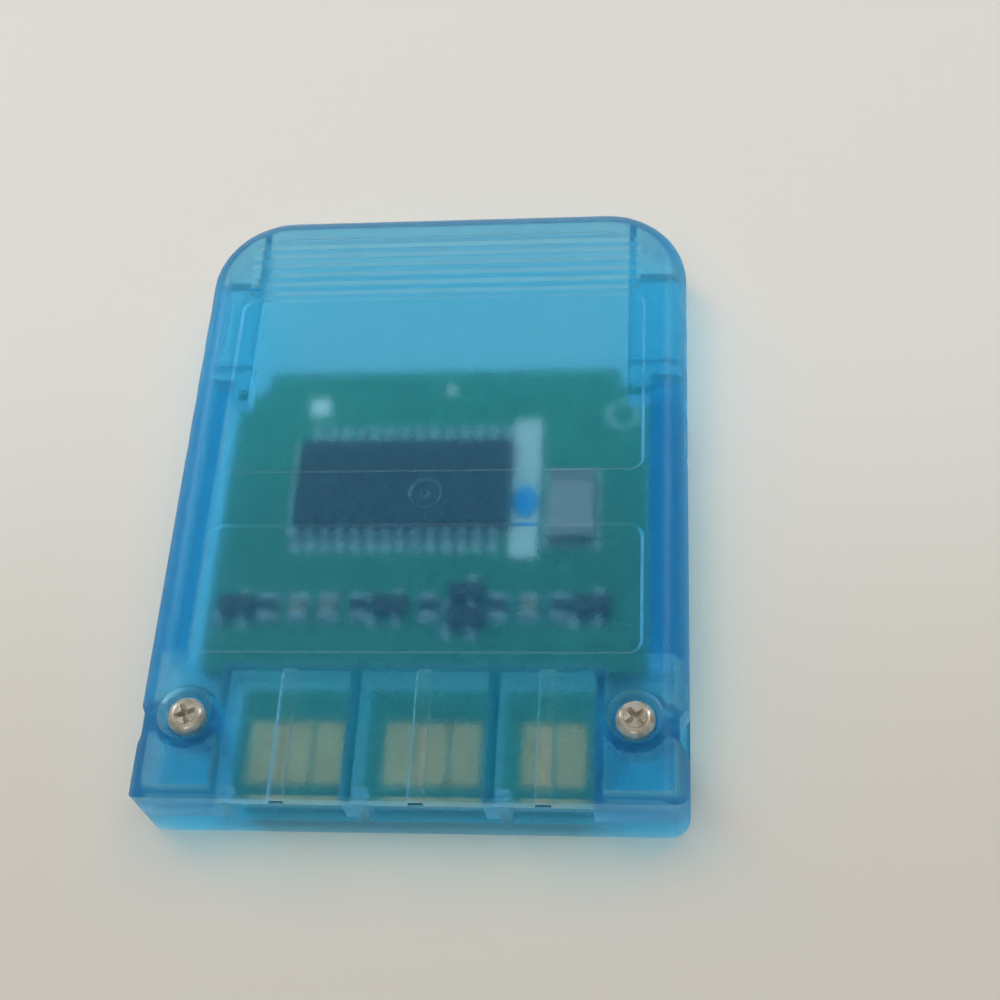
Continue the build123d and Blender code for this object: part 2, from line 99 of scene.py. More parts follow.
class NodeSheet:
    """Node sheet of one material, with short calls that add and join its nodes."""

    def __init__(self, name: str) -> None:
        """Starts a material with one principled shader.

        Args:
            name: Name of the material.
        """
        self.material = bpy.data.materials.new(name)
        self.material.use_nodes = True
        self.nodes = self.material.node_tree.nodes
        self.links = self.material.node_tree.links
        self.shader = self.nodes["Principled BSDF"]
        self.output = self.nodes["Material Output"]

    def add(self, kind: str, inputs: dict[str, Any] | None = None, **settings: Any) -> bpy.types.Node:
        """Adds a node.

        Args:
            kind: Type of the node.
            inputs: Values of its inputs, by name.
            settings: Values of its own properties, by name.

        Returns:
            The new node.
        """
        node = self.nodes.new(kind)
        for key, value in settings.items():
            setattr(node, key, value)
        for key, value in (inputs or {}).items():
            node.inputs[key].default_value = value
        return node

    def join(self, source: bpy.types.NodeSocket, target: bpy.types.NodeSocket) -> None:
        """Links an output to an input."""
        self.links.new(source, target)

    def set_shader(self, **values: Any) -> None:
        """Sets inputs of the principled shader, with spaces written as underscores."""
        for key, value in values.items():
            self.shader.inputs[key.replace("_", " ")].default_value = value

    def millimetres(self, stretch: Sequence[float] = (1, 1, 1), turn: float = 0.0) -> bpy.types.NodeSocket:
        """Object coordinates in millimetres.

        Args:
            stretch: Factor along each axis; a small one draws a pattern out.
            turn: Turn about the upright axis, in degrees.

        Returns:
            The vector output.
        """
        place = self.add("ShaderNodeTexCoord")
        mapping = self.add("ShaderNodeMapping")
        mapping.inputs["Scale"].default_value = [factor / MM for factor in stretch]
        mapping.inputs["Rotation"].default_value = (0, 0, math.radians(turn))
        self.join(place.outputs["Object"], mapping.inputs["Vector"])
        return mapping.outputs["Vector"]

    def noise(
        self, per_mm: float, detail: float = 2.0, stretch: Sequence[float] = (1, 1, 1)
    ) -> bpy.types.NodeSocket:
        """Soft random pattern.

        Args:
            per_mm: How fine it is, in waves a millimetre.
            detail: How many finer octaves it has.
            stretch: Factor along each axis.

        Returns:
            The value output.
        """
        node = self.add("ShaderNodeTexNoise", {"Scale": per_mm, "Detail": detail})
        self.join(self.millimetres(stretch), node.inputs["Vector"])
        return node.outputs["Fac"]

    def ramp(
        self, source: bpy.types.NodeSocket, low: Colour, high: Colour, start: float = 0.35, end: float = 0.65
    ) -> bpy.types.NodeSocket:
        """Colours a value.

        Args:
            source: The value.
            low: Colour up to the start.
            high: Colour from the end on.
            start: Value at which the change begins.
            end: Value at which it is complete.

        Returns:
            The colour output.
        """
        node = self.add("ShaderNodeValToRGB")
        first, last = node.color_ramp.elements
        first.position = start
        first.color = opaque(low)
        last.position = end
        last.color = opaque(high)
        self.join(source, node.inputs["Fac"])
        return node.outputs["Color"]

    def spread(self, source: bpy.types.NodeSocket, low: float, high: float) -> bpy.types.NodeSocket:
        """Maps a random value to a range.

        Args:
            source: The value, from 0 to 1.
            low: What 0 becomes.
            high: What 1 becomes.

        Returns:
            The value output.
        """
        node = self.add("ShaderNodeMapRange", {"To Min": low, "To Max": high})
        self.join(source, node.inputs["Value"])
        return node.outputs["Result"]

    def along_y(self, low: float, high: float) -> bpy.types.NodeSocket:
        """Value that rises smoothly from 0 to 1 along Y.

        Args:
            low: Place at which it leaves 0, in millimetres.
            high: Place at which it reaches 1.

        Returns:
            The value output.
        """
        place = self.add("ShaderNodeSeparateXYZ")
        self.join(self.millimetres(), place.inputs["Vector"])
        limits = {"From Min": low, "From Max": high}
        share = self.add("ShaderNodeMapRange", limits, interpolation_type="SMOOTHSTEP")
        self.join(place.outputs["Y"], share.inputs["Value"])
        return share.outputs["Result"]

    def by_slope(self, level: float, upright: float) -> bpy.types.NodeSocket:
        """Value that depends on how steep a face is.

        Args:
            level: Value on level faces.
            upright: Value on upright faces.

        Returns:
            The value output.
        """
        facing = self.add("ShaderNodeSeparateXYZ")
        self.join(self.add("ShaderNodeNewGeometry").outputs["True Normal"], facing.inputs["Vector"])
        flatness = self.add("ShaderNodeMath", operation="ABSOLUTE")
        self.join(facing.outputs["Z"], flatness.inputs[0])
        return self.spread(flatness.outputs["Value"], upright, level)

    def relief(
        self, source: bpy.types.NodeSocket, height: float, strength: float = 1.0
    ) -> bpy.types.NodeSocket:
        """Bumps a surface by a pattern.

        Args:
            source: The pattern.
            height: Height of the bumps in millimetres.
            strength: Share of the effect.

        Returns:
            The normal output.
        """
        node = self.add("ShaderNodeBump", {"Distance": height * MM, "Strength": strength})
        self.join(source, node.inputs["Height"])
        return node.outputs["Normal"]


@dataclass(frozen=True)
class FrostedPlastic:
    """Clear blue plastic with a satin skin, as a case half is moulded in.

    Attributes:
        tint: Colour that each skin gives to light passing through.
        haze_low: Darker colour of the milky share.
        haze_high: Paler colour of the milky share.
        haze: Share of the surface that scatters light back.
        satin: Roughness of the skin on level faces.
        upright_satin: Its roughness on upright faces.
        bend: Index of refraction.
        absorbed_to: Colour that depth leaves.
        depth_density: Absorption per metre.
        lamp_tint: Share of lamp light that one skin lets in.
        grain: Height of the satin grain in millimetres.
        grain_per_mm: How fine that grain is.
    """

    tint: Colour = (0.97, 0.995, 1.0)
    haze_low: Colour = (0.0, 0.22, 0.68)
    haze_high: Colour = (0.08, 0.66, 1.0)
    haze: float = 0.05
    satin: float = 0.3
    upright_satin: float = 0.7
    bend: float = 1.4
    absorbed_to: Colour = (0.0, 0.8, 0.956)
    depth_density: float = 350.0
    lamp_tint: Colour = (0.985, 0.995, 1.0)
    grain: float = 0.03
    grain_per_mm: float = 4.5

    def make(self) -> bpy.types.Material:
        """Makes the material."""
        sheet = NodeSheet("frosted_blue_plastic")
        sheet.set_shader(Base_Color=opaque(self.tint), IOR=self.bend, Transmission_Weight=1.0)
        sheet.join(sheet.by_slope(self.satin, self.upright_satin), sheet.shader.inputs["Roughness"])
        skin = sheet.relief(sheet.noise(self.grain_per_mm), self.grain)
        sheet.join(skin, sheet.shader.inputs["Normal"])
        milk = sheet.add("ShaderNodeBsdfDiffuse")
        speckle = sheet.noise(self.grain_per_mm, detail=1.0)
        sheet.join(sheet.ramp(speckle, self.haze_low, self.haze_high), milk.inputs["Color"])
        body = sheet.add("ShaderNodeMixShader", {"Fac": self.haze})
        sheet.join(sheet.shader.outputs["BSDF"], body.inputs[1])
        sheet.join(milk.outputs["BSDF"], body.inputs[2])
        clear = sheet.add("ShaderNodeBsdfTransparent", {"Color": opaque(self.lamp_tint)})
        path = sheet.add("ShaderNodeLightPath")
        lamps = sheet.add("ShaderNodeMixShader")
        sheet.join(path.outputs["Is Shadow Ray"], lamps.inputs["Fac"])
        sheet.join(body.outputs["Shader"], lamps.inputs[1])
        sheet.join(clear.outputs["BSDF"], lamps.inputs[2])
        sheet.join(lamps.outputs["Shader"], sheet.output.inputs["Surface"])
        depth = sheet.add("ShaderNodeVolumeAbsorption", {"Density": self.depth_density})
        depth.inputs["Color"].default_value = opaque(self.absorbed_to)
        sheet.join(depth.outputs["Volume"], sheet.output.inputs["Volume"])
        return sheet.material


@dataclass(frozen=True)
class SolderMask:
    """Green lacquer of a circuit board, over copper tracks that show through it, with painted shade that
    darkens it towards the mouth end.

    Attributes:
        bare: Colour over bare laminate.
        copper: Colour over copper.
        track_pitch: Distance between tracks in millimetres.
        track_run: Length of a track before it jogs.
        track_width: Width of the gap between tracks, as a share of the pitch.
        track_relief: Depth of that gap in millimetres.
        plane_per_mm: How fine the pattern of plain copper areas is.
        plane_edge: Values of that pattern between which an area ends.
        mottle_per_mm: How fine the mottle of those areas is.
        gloss: Roughness.
        painted_shade: Share of its colour that is left at the mouth end, where shade is painted.
        painted_shade_limits: Places along Y between which the painted shade darkens it, in millimetres.
    """

    bare: Colour = screen(32, 114, 94)
    copper: Colour = screen(58, 152, 124)
    track_pitch: float = 0.7
    track_run: float = 4.6
    track_width: float = 0.16
    track_relief: float = 0.02
    plane_per_mm: float = 0.16
    plane_edge: tuple[float, float] = (0.48, 0.52)
    mottle_per_mm: float = 0.9
    gloss: float = 0.4
    painted_shade: float = 0.66
    painted_shade_limits: tuple[float, float] = (-8.0, 12.0)

    def make(self) -> bpy.types.Material:
        """Makes the material."""
        sheet = NodeSheet("green_solder_mask")
        tracks = sheet.add("ShaderNodeTexBrick", {"Scale": 1.0, "Mortar Size": self.track_width})
        tracks.inputs["Brick Width"].default_value = self.track_run
        tracks.inputs["Row Height"].default_value = self.track_pitch
        sheet.join(sheet.millimetres(turn=90.0), tracks.inputs["Vector"])
        lines = sheet.ramp(tracks.outputs["Fac"], self.copper, self.bare, 0.2, 0.8)
        mottle = sheet.ramp(sheet.noise(self.mottle_per_mm), self.bare, self.copper, 0.2, 0.9)
        areas = sheet.ramp(sheet.noise(self.plane_per_mm, detail=1.0), BLACK, WHITE, *self.plane_edge)
        planes = sheet.add("ShaderNodeMix", data_type="RGBA")
        sheet.join(areas, planes.inputs["Factor"])
        sheet.join(lines, planes.inputs["A"])
        sheet.join(mottle, planes.inputs["B"])
        # Painted shade: the board's colour is darkened towards the mouth end.
        painted_shade_ramp = sheet.ramp(sheet.along_y(*self.painted_shade_limits), (self.painted_shade,) * 3, WHITE, 0, 1)
        painted_shade_mix = sheet.add("ShaderNodeMix", {"Factor": 1.0}, data_type="RGBA", blend_type="MULTIPLY")
        sheet.join(planes.outputs["Result"], painted_shade_mix.inputs["A"])
        sheet.join(painted_shade_ramp, painted_shade_mix.inputs["B"])
        sheet.join(painted_shade_mix.outputs["Result"], sheet.shader.inputs["Base Color"])
        sheet.set_shader(Roughness=self.gloss)
        grooves = sheet.relief(tracks.outputs["Fac"], -self.track_relief, strength=0.6)
        sheet.join(grooves, sheet.shader.inputs["Normal"])
        return sheet.material


@dataclass(frozen=True)
class Table:
    """Matt table top with painted shade that darkens it a little towards the viewer.

    Attributes:
        far: Colour behind the card, where no shade is painted.
        near: Colour in front of it, darkened as painted shade.
        limits: Places along Y between which the painted shade grows, in millimetres.
        rough: Roughness.
    """

    far: Colour = screen(220, 217, 210)
    near: Colour = screen(204, 198, 187)
    limits: tuple[float, float] = (-34.0, 24.0)
    rough: float = 0.6

    def make(self) -> bpy.types.Material:
        """Makes the material."""
        sheet = NodeSheet("pale_table")
        # Painted shade: the table's colour darkens towards the viewer.
        colour = sheet.ramp(sheet.along_y(*self.limits), self.near, self.far, 0.0, 1.0)
        sheet.join(colour, sheet.shader.inputs["Base Color"])
        sheet.set_shader(Roughness=self.rough)
        return sheet.material


@dataclass(frozen=True)
class Metal:
    """Bare or plated metal, with drawn-out scratches.

    Attributes:
        name: Name of the material.
        dark: Colour of dull streaks.
        bright: Colour of clean metal.
        smooth: Roughness of clean metal.
        dull: Roughness of streaks.
        streaks: Stretch of the streaks along each axis.
        per_mm: How fine the streaks are.
        bare: Share of bare metal; the rest is a matt film.
        scratch: Depth of the scratches in millimetres.
    """

    name: str
    dark: Colour
    bright: Colour
    smooth: float = 0.25
    dull: float = 0.45
    streaks: tuple[float, float, float] = (1, 1, 1)
    per_mm: float = 3.0
    bare: float = 0.65
    scratch: float = 0.01

    def make(self) -> bpy.types.Material:
        """Makes the material."""
        sheet = NodeSheet(self.name)
        wear = sheet.noise(self.per_mm, detail=3.0, stretch=self.streaks)
        sheet.join(sheet.ramp(wear, self.dark, self.bright), sheet.shader.inputs["Base Color"])
        sheet.join(sheet.spread(wear, self.dull, self.smooth), sheet.shader.inputs["Roughness"])
        sheet.join(sheet.relief(wear, self.scratch, strength=0.4), sheet.shader.inputs["Normal"])
        sheet.set_shader(Metallic=self.bare)
        return sheet.material


@dataclass(frozen=True)
class Dull:
    """Moulded, fired, printed or painted surface with a fine speckle.

    Attributes:
        name: Name of the material.
        low: Darker colour of the speckle.
        high: Paler colour of the speckle.
        rough: Roughness.
        per_mm: How fine the speckle is.
        relief: Height of its bumps in millimetres.
    """

    name: str
    low: Colour
    high: Colour
    rough: float = 0.6
    per_mm: float = 4.0
    relief: float = 0.01

    def make(self) -> bpy.types.Material:
        """Makes the material."""
        sheet = NodeSheet(self.name)
        speckle = sheet.noise(self.per_mm, detail=3.0)
        sheet.join(sheet.ramp(speckle, self.low, self.high), sheet.shader.inputs["Base Color"])
        sheet.join(sheet.relief(speckle, self.relief, strength=0.5), sheet.shader.inputs["Normal"])
        sheet.set_shader(Roughness=self.rough)
        return sheet.material


def dress(names: Iterable[str], material: bpy.types.Material) -> None:
    """Gives CAD nodes a material in their slots.

    Args:
        names: Names of the nodes.
        material: The material.
    """
    for name in names:
        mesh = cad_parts[name].data
        mesh.materials.clear()
        mesh.materials.append(material)
        log.info("dressed %s with %s", name, material.name)


def named(prefix: str) -> list[str]:
    """Names of the CAD nodes that start with a prefix and end with a number."""
    return sorted(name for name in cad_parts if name.startswith(prefix + "_") and name[-1].isdigit())


def add_piece(
    name: str, shape: bmesh.types.BMesh, material: bpy.types.Material
) -> bpy.types.Object:
    """Makes an object of a bmesh, which is freed, and lets it ride on the card.

    Args:
        name: Name of the piece.
        shape: Its shape in metres, in place.
        material: Its material.

    Returns:
        The new object.
    """
    bmesh.ops.recalc_face_normals(shape, faces=shape.faces)
    mesh = bpy.data.meshes.new(name)
    shape.to_mesh(mesh)
    shape.free()
    mesh.materials.append(material)
    made = bpy.data.objects.new(name, mesh)
    bpy.context.scene.collection.objects.link(made)
    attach(made, BODY)
    log.info("added %s with %d faces", name, len(mesh.polygons))
    return made


def add_block(shape: bmesh.types.BMesh, size: Sequence[float], place: Vector, taper: float = 1.0) -> None:
    """Adds a block that stands on a place, with its top drawn in.

    Args:
        shape: The bmesh that takes it.
        size: Length along each axis in metres.
        place: Middle of its underside.
        taper: Size of its top, as a share of its underside.
    """
    made = bmesh.ops.create_cube(shape, size=1.0)["verts"]
    bmesh.ops.translate(shape, verts=made, vec=(0, 0, 0.5))
    upper = [v for v in made if v.co.z > 0.5]
    bmesh.ops.scale(shape, verts=upper, vec=(taper, taper, 1))
    bmesh.ops.scale(shape, verts=made, vec=size)
    bmesh.ops.translate(shape, verts=made, vec=place)


def add_ring(shape: bmesh.types.BMesh, radius: float, line: float, height: float, place: Vector) -> None:
    """Adds a flat ring.

    Args:
        shape: The bmesh that takes it.
        radius: Outer radius in metres.
        line: Width of its line.
        height: Its thickness.
        place: Middle of its underside.
    """
    section = [(radius - line, 0), (radius, 0), (radius, height), (radius - line, height)]
    made = [shape.verts.new(place + Vector((x, 0, z))) for x, z in section]
    edges = [shape.edges.new((a, b)) for a, b in zip(made, made[1:] + made[:1])]
    bmesh.ops.spin(
        shape, geom=made + edges, cent=place, axis=(0, 0, 1), angle=2 * math.pi,
        steps=ROUND_STEPS, use_merge=True,
    )


@dataclass
class CaseHalves:
    """The two halves of the case.

    Attributes:
        plastic: Their finish.
        nodes: Their CAD nodes.
    """

    plastic: FrostedPlastic = FrostedPlastic()
    nodes: tuple[str, ...] = ("rear_shell", "front_shell")

    def dress(self) -> None:
        """Gives both halves their plastic."""
        dress(self.nodes, self.plastic.make())


@dataclass
class CaseScrews:
    """Two pan-head screws with a cross recess and a coarse thread.

    Attributes:
        steel: Their finish.
        node: CAD node that they stand for.
        head_height: Height of the head.
        crown: How much the middle of the head stands above its rim.
        crown_bend: Point of the crown's curve, as shares of the radius and of the crown's height.
        rim_round: Rounding of the rim.
        rim_steps: Flats of that rounding.
        round_steps: Flats round the screw.
        smooth_below: Steepest edge that is shaded smooth, in degrees.
        shank: Diameter over the thread.
        thread_depth: Depth of the thread.
        thread_pitch: Distance between its turns.
        thread_root: Flat between two turns, as a share of the pitch.
        tip_share: Height of the tip's cone, as a share of the pitch.
        recess_length: Length of the cross recess.
        recess_width: Width of its arms.
        recess_depth: Its depth.
        recess_mouth: How far its cutter stands above the crown.
        recess_taper: Size of its floor, as a share of its mouth.
        turns: Turn of each recess from left to right, in degrees.
    """

    steel: Metal = Metal(
        "nickel_steel", screen(176, 166, 148), screen(220, 212, 196), 0.2, 0.36, per_mm=1.4, bare=0.5
    )
    node: str = "case_screws"
    head_height: float = 1.0
    crown: float = 0.12
    crown_bend: tuple[float, float] = (0.55, 0.3)
    rim_round: float = 0.6
    rim_steps: int = 8
    round_steps: int = 48
    smooth_below: float = 35.0
    shank: float = 1.9
    thread_depth: float = 0.22
    thread_pitch: float = 0.62
    thread_root: float = 0.35
    tip_share: float = 0.3
    recess_length: float = 1.95
    recess_width: float = 0.46
    recess_depth: float = 0.62
    recess_mouth: float = 0.062
    recess_taper: float = 0.4
    turns: tuple[float, float] = (20.0, 38.0)

    def build(self) -> None:
        """Builds both screws in the places of the CAD node."""
        low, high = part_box(self.node)
        radius = (high.y - low.y) / 2
        middle = (low.y + high.y) / 2
        material = self.steel.make()
        for x, turn, name in zip((low.x + radius, high.x - radius), self.turns, ("left", "right")):
            shape = self.blank(radius, high.z - low.z)
            self.cut_recess(shape, turn)
            bmesh.ops.translate(shape, verts=shape.verts, vec=(x, middle, high.z))
            made = add_piece(f"case_screw_{name}", shape, material)
            made.data.shade_smooth()
            made.modifiers.new("edges", "EDGE_SPLIT").split_angle = math.radians(self.smooth_below)
            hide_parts(self.node)

    def blank(self, radius: float, length: float) -> bmesh.types.BMesh:
        """Turns the screw about its own axis, with its crown at the origin.

        Args:
            radius: Radius of the head in metres.
            length: Whole length.

        Returns:
            The screw without its recess.
        """
        shape = bmesh.new()
        rim = -self.crown * MM
        seat = -self.head_height * MM
        outer = self.shank / 2 * MM
        inner = outer - self.thread_depth * MM
        round_off = self.rim_round * MM
        bend_out, bend_down = self.crown_bend
        profile = [(0.0, 0.0), (radius * bend_out, rim * bend_down), (radius - round_off, rim)]
        for step in range(1, self.rim_steps + 1):
            angle = math.radians(90 * step / self.rim_steps)
            across = radius - round_off + round_off * math.sin(angle)
            profile.append((across, rim - round_off + round_off * math.cos(angle)))
        profile += [(radius, seat), (outer, seat)]
        pitch = self.thread_pitch * MM
        turns = int((length + seat - pitch) / pitch)
        for turn in range(turns):
            top = seat - (turn + 0.5) * pitch
            root = top - self.thread_root * pitch
            profile += [(inner, top), (inner, root), (outer, top - 0.5 * pitch)]
        profile += [(inner, -length + self.tip_share * pitch), (0.0, -length)]
        verts = [shape.verts.new((x, 0, z)) for x, z in profile]
        edges = [shape.edges.new(pair) for pair in zip(verts, verts[1:])]
        bmesh.ops.spin(
            shape, geom=verts + edges, cent=(0, 0, 0), axis=(0, 0, 1), angle=2 * math.pi,
            steps=self.round_steps, use_merge=True,
        )
        bmesh.ops.remove_doubles(shape, verts=shape.verts, dist=WELD)
        bmesh.ops.recalc_face_normals(shape, faces=shape.faces)
        return shape

    def cut_recess(self, shape: bmesh.types.BMesh, turn: float) -> None:
        """Cuts the cross recess into a screw.

        Args:
            shape: The screw, which is changed.
            turn: Turn of the cross in degrees.
        """
        screw = self.loose("screw_blank", shape)
        tools = []
        for angle in (turn, turn + 90):
            arm = bmesh.new()
            depth = self.recess_depth * MM
            size = (self.recess_length * MM, self.recess_width * MM, depth + self.recess_mouth * MM)
            add_block(arm, size, Vector((0, 0, -depth)))
            floor = [v for v in arm.verts if v.co.z < 0]
            bmesh.ops.scale(arm, verts=floor, vec=(self.recess_taper, self.recess_taper, 1))
            bmesh.ops.rotate(arm, verts=arm.verts, matrix=Matrix.Rotation(math.radians(angle), 3, "Z"))
            tools.append(self.loose("recess_arm", arm))
            cut = screw.modifiers.new("recess", "BOOLEAN")
            cut.object = tools[-1]
            cut.solver = "EXACT"
            arm.free()
        evaluated = screw.evaluated_get(bpy.context.evaluated_depsgraph_get())
        cut_mesh = bpy.data.meshes.new_from_object(evaluated)
        shape.clear()
        shape.from_mesh(cut_mesh)
        bpy.data.meshes.remove(cut_mesh)
        for item in [screw] + tools:
            mesh = item.data
            bpy.data.objects.remove(item)
            bpy.data.meshes.remove(mesh)

    @staticmethod
    def loose(name: str, shape: bmesh.types.BMesh) -> bpy.types.Object:
        """Makes a short-lived object of a bmesh, which stays as it is."""
        bmesh.ops.recalc_face_normals(shape, faces=shape.faces)
        mesh = bpy.data.meshes.new(name)
        shape.to_mesh(mesh)
        made = bpy.data.objects.new(name, mesh)
        bpy.context.scene.collection.objects.link(made)
        return made


@dataclass
class CircuitBoard:
    """The board with its solder joints and plain printed marks.

    Attributes:
        mask: Finish of the board.
        solder: Finish of its solder.
        ink: Finish of its printed marks.
        node: CAD node of the board.
        ink_height: Thickness of the print.
        line: Width of a printed line.
        pad_height: Height of a solder joint.
        pad_margin: How much wider and longer it is than the lead.
        pad_taper: Size of its top, as a share of its underside.
        square: Side of the printed square.
        square_place: Its place.
        ring_radius: Radius of the printed ring.
        ring_place: Its place.
        wedge: Side of the printed triangle.
        wedge_place: Its place.
        margins: Parts with a printed outline, and its distance from each.
    """

    mask: SolderMask = SolderMask()
    solder: Metal = Metal("solder", screen(168, 172, 176), screen(226, 229, 232), 0.3, 0.5, per_mm=1.5)
    ink: Dull = Dull("board_ink", screen(206, 210, 204), screen(240, 242, 238), 0.7, 2.0)
    node: str = "circuit_board"
    ink_height: float = 0.02
    line: float = 0.18
    pad_height: float = 0.16
    pad_margin: tuple[float, float] = (0.3, 0.5)
    pad_taper: float = 0.8
    square: float = 1.7
    square_place: tuple[float, float] = (-10.6, 9.4)
    ring_radius: float = 1.35
    ring_place: tuple[float, float] = (15.6, 8.35)
    wedge: float = 1.3
    wedge_place: tuple[float, float] = (0.8, 11.0)
    margins: tuple[tuple[str, float], ...] = (("memory_chip", 0.35), ("resonator_caps", 0.3))

    def top(self, x: float, y: float) -> Vector:
        """Point on the board's upper face, from millimetres."""
        return Vector((x * MM, y * MM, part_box(self.node)[1].z))

    def dress(self) -> None:
        """Gives the board its solder mask."""
        dress([self.node], self.mask.make())

    def build(self) -> None:
        """Adds the printed marks and the solder joints."""
        add_piece("board_marks", self.marks(), self.ink.make())
        add_piece("solder_joints", self.joints(), self.solder.make())

    def marks(self) -> bmesh.types.BMesh:
        """Printed square, ring, triangle and outlines."""
        shape = bmesh.new()
        height = self.ink_height * MM
        side = self.square * MM
        add_block(shape, (side, side, height), self.top(*self.square_place))
        add_ring(shape, self.ring_radius * MM, self.line * MM, height, self.top(*self.ring_place))
        reach = self.wedge / 2 * MM
        wedge = bmesh.ops.create_cone(
            shape, cap_ends=True, segments=3, radius1=reach, radius2=reach, depth=height
        )["verts"]
        bmesh.ops.translate(shape, verts=wedge, vec=self.top(*self.wedge_place) + Vector((0, 0, height / 2)))
        for node, margin in self.margins:
            self.outline(shape, node, margin)
        return shape

    def outline(self, shape: bmesh.types.BMesh, node: str, margin: float) -> None:
        """Adds a printed line round a part.

        Args:
            shape: The bmesh that takes it.
            node: CAD node of the part.
            margin: Distance of the line from the part.
        """
        low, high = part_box(node)
        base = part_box(self.node)[1].z
        line = self.line * MM
        gap = margin * MM
        length = high.x - low.x + 2 * gap
        width = high.y - low.y + 2 * gap
        middle = (low + high) / 2
        for side in Side:
            across = Vector((middle.x, middle.y + side.value * width / 2, base))
            along = Vector((middle.x + side.value * length / 2, middle.y, base))
            add_block(shape, (length + line, line, self.ink_height * MM), across)
            add_block(shape, (line, width - line, self.ink_height * MM), along)

    def joints(self) -> bmesh.types.BMesh:
        """Solder at the leads and at the small parts' ends."""
        shape = bmesh.new()
        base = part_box(self.node)[1].z
        wider, longer = self.pad_margin
        for node in ("chip_leads", "transistor_leads", "chip_part_ends"):
            for low, high in solids_of(node):
                size = (high.x - low.x + wider * MM, high.y - low.y + longer * MM, self.pad_height * MM)
                middle = (low + high) / 2
                add_block(shape, size, Vector((middle.x, middle.y, base)), self.pad_taper)
        return shape


def solids_of(node: str) -> list[tuple[Vector, Vector]]:
    """Boxes of the separate solids of a CAD node.

    Args:
        node: Name of the node.

    Returns:
        Lowest and highest corner of each solid.
    """
    shape = bmesh.new()
    shape.from_mesh(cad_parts[node].data)
    bmesh.ops.remove_doubles(shape, verts=shape.verts, dist=WELD)
    left = set(shape.verts)
    boxes = []
    while left:
        todo = [left.pop()]
        points = []
        while todo:
            vert = todo.pop()
            points.append(vert.co.copy())
            for edge in vert.link_edges:
                other = edge.other_vert(vert)
                if other in left:
                    left.remove(other)
                    todo.append(other)
        low = Vector([min(p[i] for p in points) for i in range(3)])
        high = Vector([max(p[i] for p in points) for i in range(3)])
        boxes.append((low, high))
    shape.free()
    return boxes


@dataclass
class Contacts:
    """The row of contact fingers.

    Attributes:
        gold: Their finish.
    """

    gold: Metal = Metal(
        "contact_gold", screen(208, 160, 102), screen(248, 200, 144), 0.34, 0.5, (3, 0.25, 1), 1.6
    )

    def dress(self) -> None:
        """Gives the fingers their gold."""
        dress(named("contact_finger"), self.gold.make())


@dataclass
class BoardParts:
    """The parts soldered to the board.

    Attributes:
        epoxy: Finish of the chip and the small moulded parts.
        tin: Finish of leads and tinned ends.
        ceramic: Finish of the resonator.
        nickel: Finish of its ends.
        resistor: Finish of the resistors.
        capacitor: Finish of the capacitors.
        paper: Finish of the marking strip.
        capacitors: Numbers of the chip parts that are capacitors.
    """

    epoxy: Dull = Dull("black_epoxy", screen(40, 37, 38), screen(56, 52, 53), 0.5, 5.0)
    tin: Metal = Metal("tinned_leads", screen(150, 153, 158), screen(205, 208, 212), 0.3, 0.5, per_mm=2.0)
    ceramic: Dull = Dull("grey_ceramic", screen(152, 134, 130), screen(170, 152, 146), 0.55, 2.0)
    nickel: Metal = Metal("dull_nickel", screen(132, 122, 120), screen(166, 156, 152), 0.4, 0.55, per_mm=2.0)
    resistor: Dull = Dull("resistor_black", screen(26, 27, 30), screen(44, 45, 48), 0.45, 3.0)
    capacitor: Dull = Dull("capacitor_tan", screen(112, 104, 92), screen(138, 128, 112), 0.5, 3.0)
    paper: Dull = Dull("paper_strip", screen(190, 192, 188), screen(214, 215, 212), 0.75, 2.5)
    capacitors: tuple[str, ...] = ("chip_part_2", "chip_part_3", "chip_part_7")

    def dress(self) -> None:
        """Gives each part its finish."""
        dress(["memory_chip"] + named("transistor"), self.epoxy.make())
        dress(["chip_leads", "transistor_leads", "chip_part_ends"], self.tin.make())
        dress(["resonator"], self.ceramic.make())
        dress(["resonator_caps"], self.nickel.make())
        dress(["marking_label"], self.paper.make())
        dress(self.capacitors, self.capacitor.make())
        dress([name for name in named("chip_part") if name not in self.capacitors], self.resistor.make())


@dataclass
class LacquerDrop:
    """Domed drop of blue lacquer on the marking strip.

    Attributes:
        paint: Its finish.
        node: CAD node that it stands for.
        rows: Flats from pole to pole of the ball that it is cut from.
    """

    paint: Dull = Dull("blue_lacquer", screen(0, 136, 200), screen(0, 154, 220), 0.4, 0.8)
    node: str = "lacquer_dot"
    rows: int = 24

    def build(self) -> None:
        """Builds the drop inside the box of its CAD node."""
        low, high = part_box(self.node)
        shape = bmesh.new()
        bmesh.ops.create_uvsphere(shape, u_segments=ROUND_STEPS, v_segments=self.rows, radius=1.0)
        whole = shape.verts[:] + shape.edges[:] + shape.faces[:]
        cut = bmesh.ops.bisect_plane(
            shape, geom=whole, plane_co=(0, 0, 0), plane_no=(0, 0, 1), clear_inner=True
        )
        rim = [item for item in cut["geom_cut"] if isinstance(item, bmesh.types.BMEdge)]
        bmesh.ops.contextual_create(shape, geom=rim)
        size = high - low
        bmesh.ops.scale(shape, verts=shape.verts, vec=(size.x / 2, size.y / 2, size.z))
        bmesh.ops.translate(shape, verts=shape.verts, vec=((low.x + high.x) / 2, (low.y + high.y) / 2, low.z))
        made = add_piece("lacquer_drop", shape, self.paint.make())
        made.data.shade_smooth()
        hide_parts(self.node)


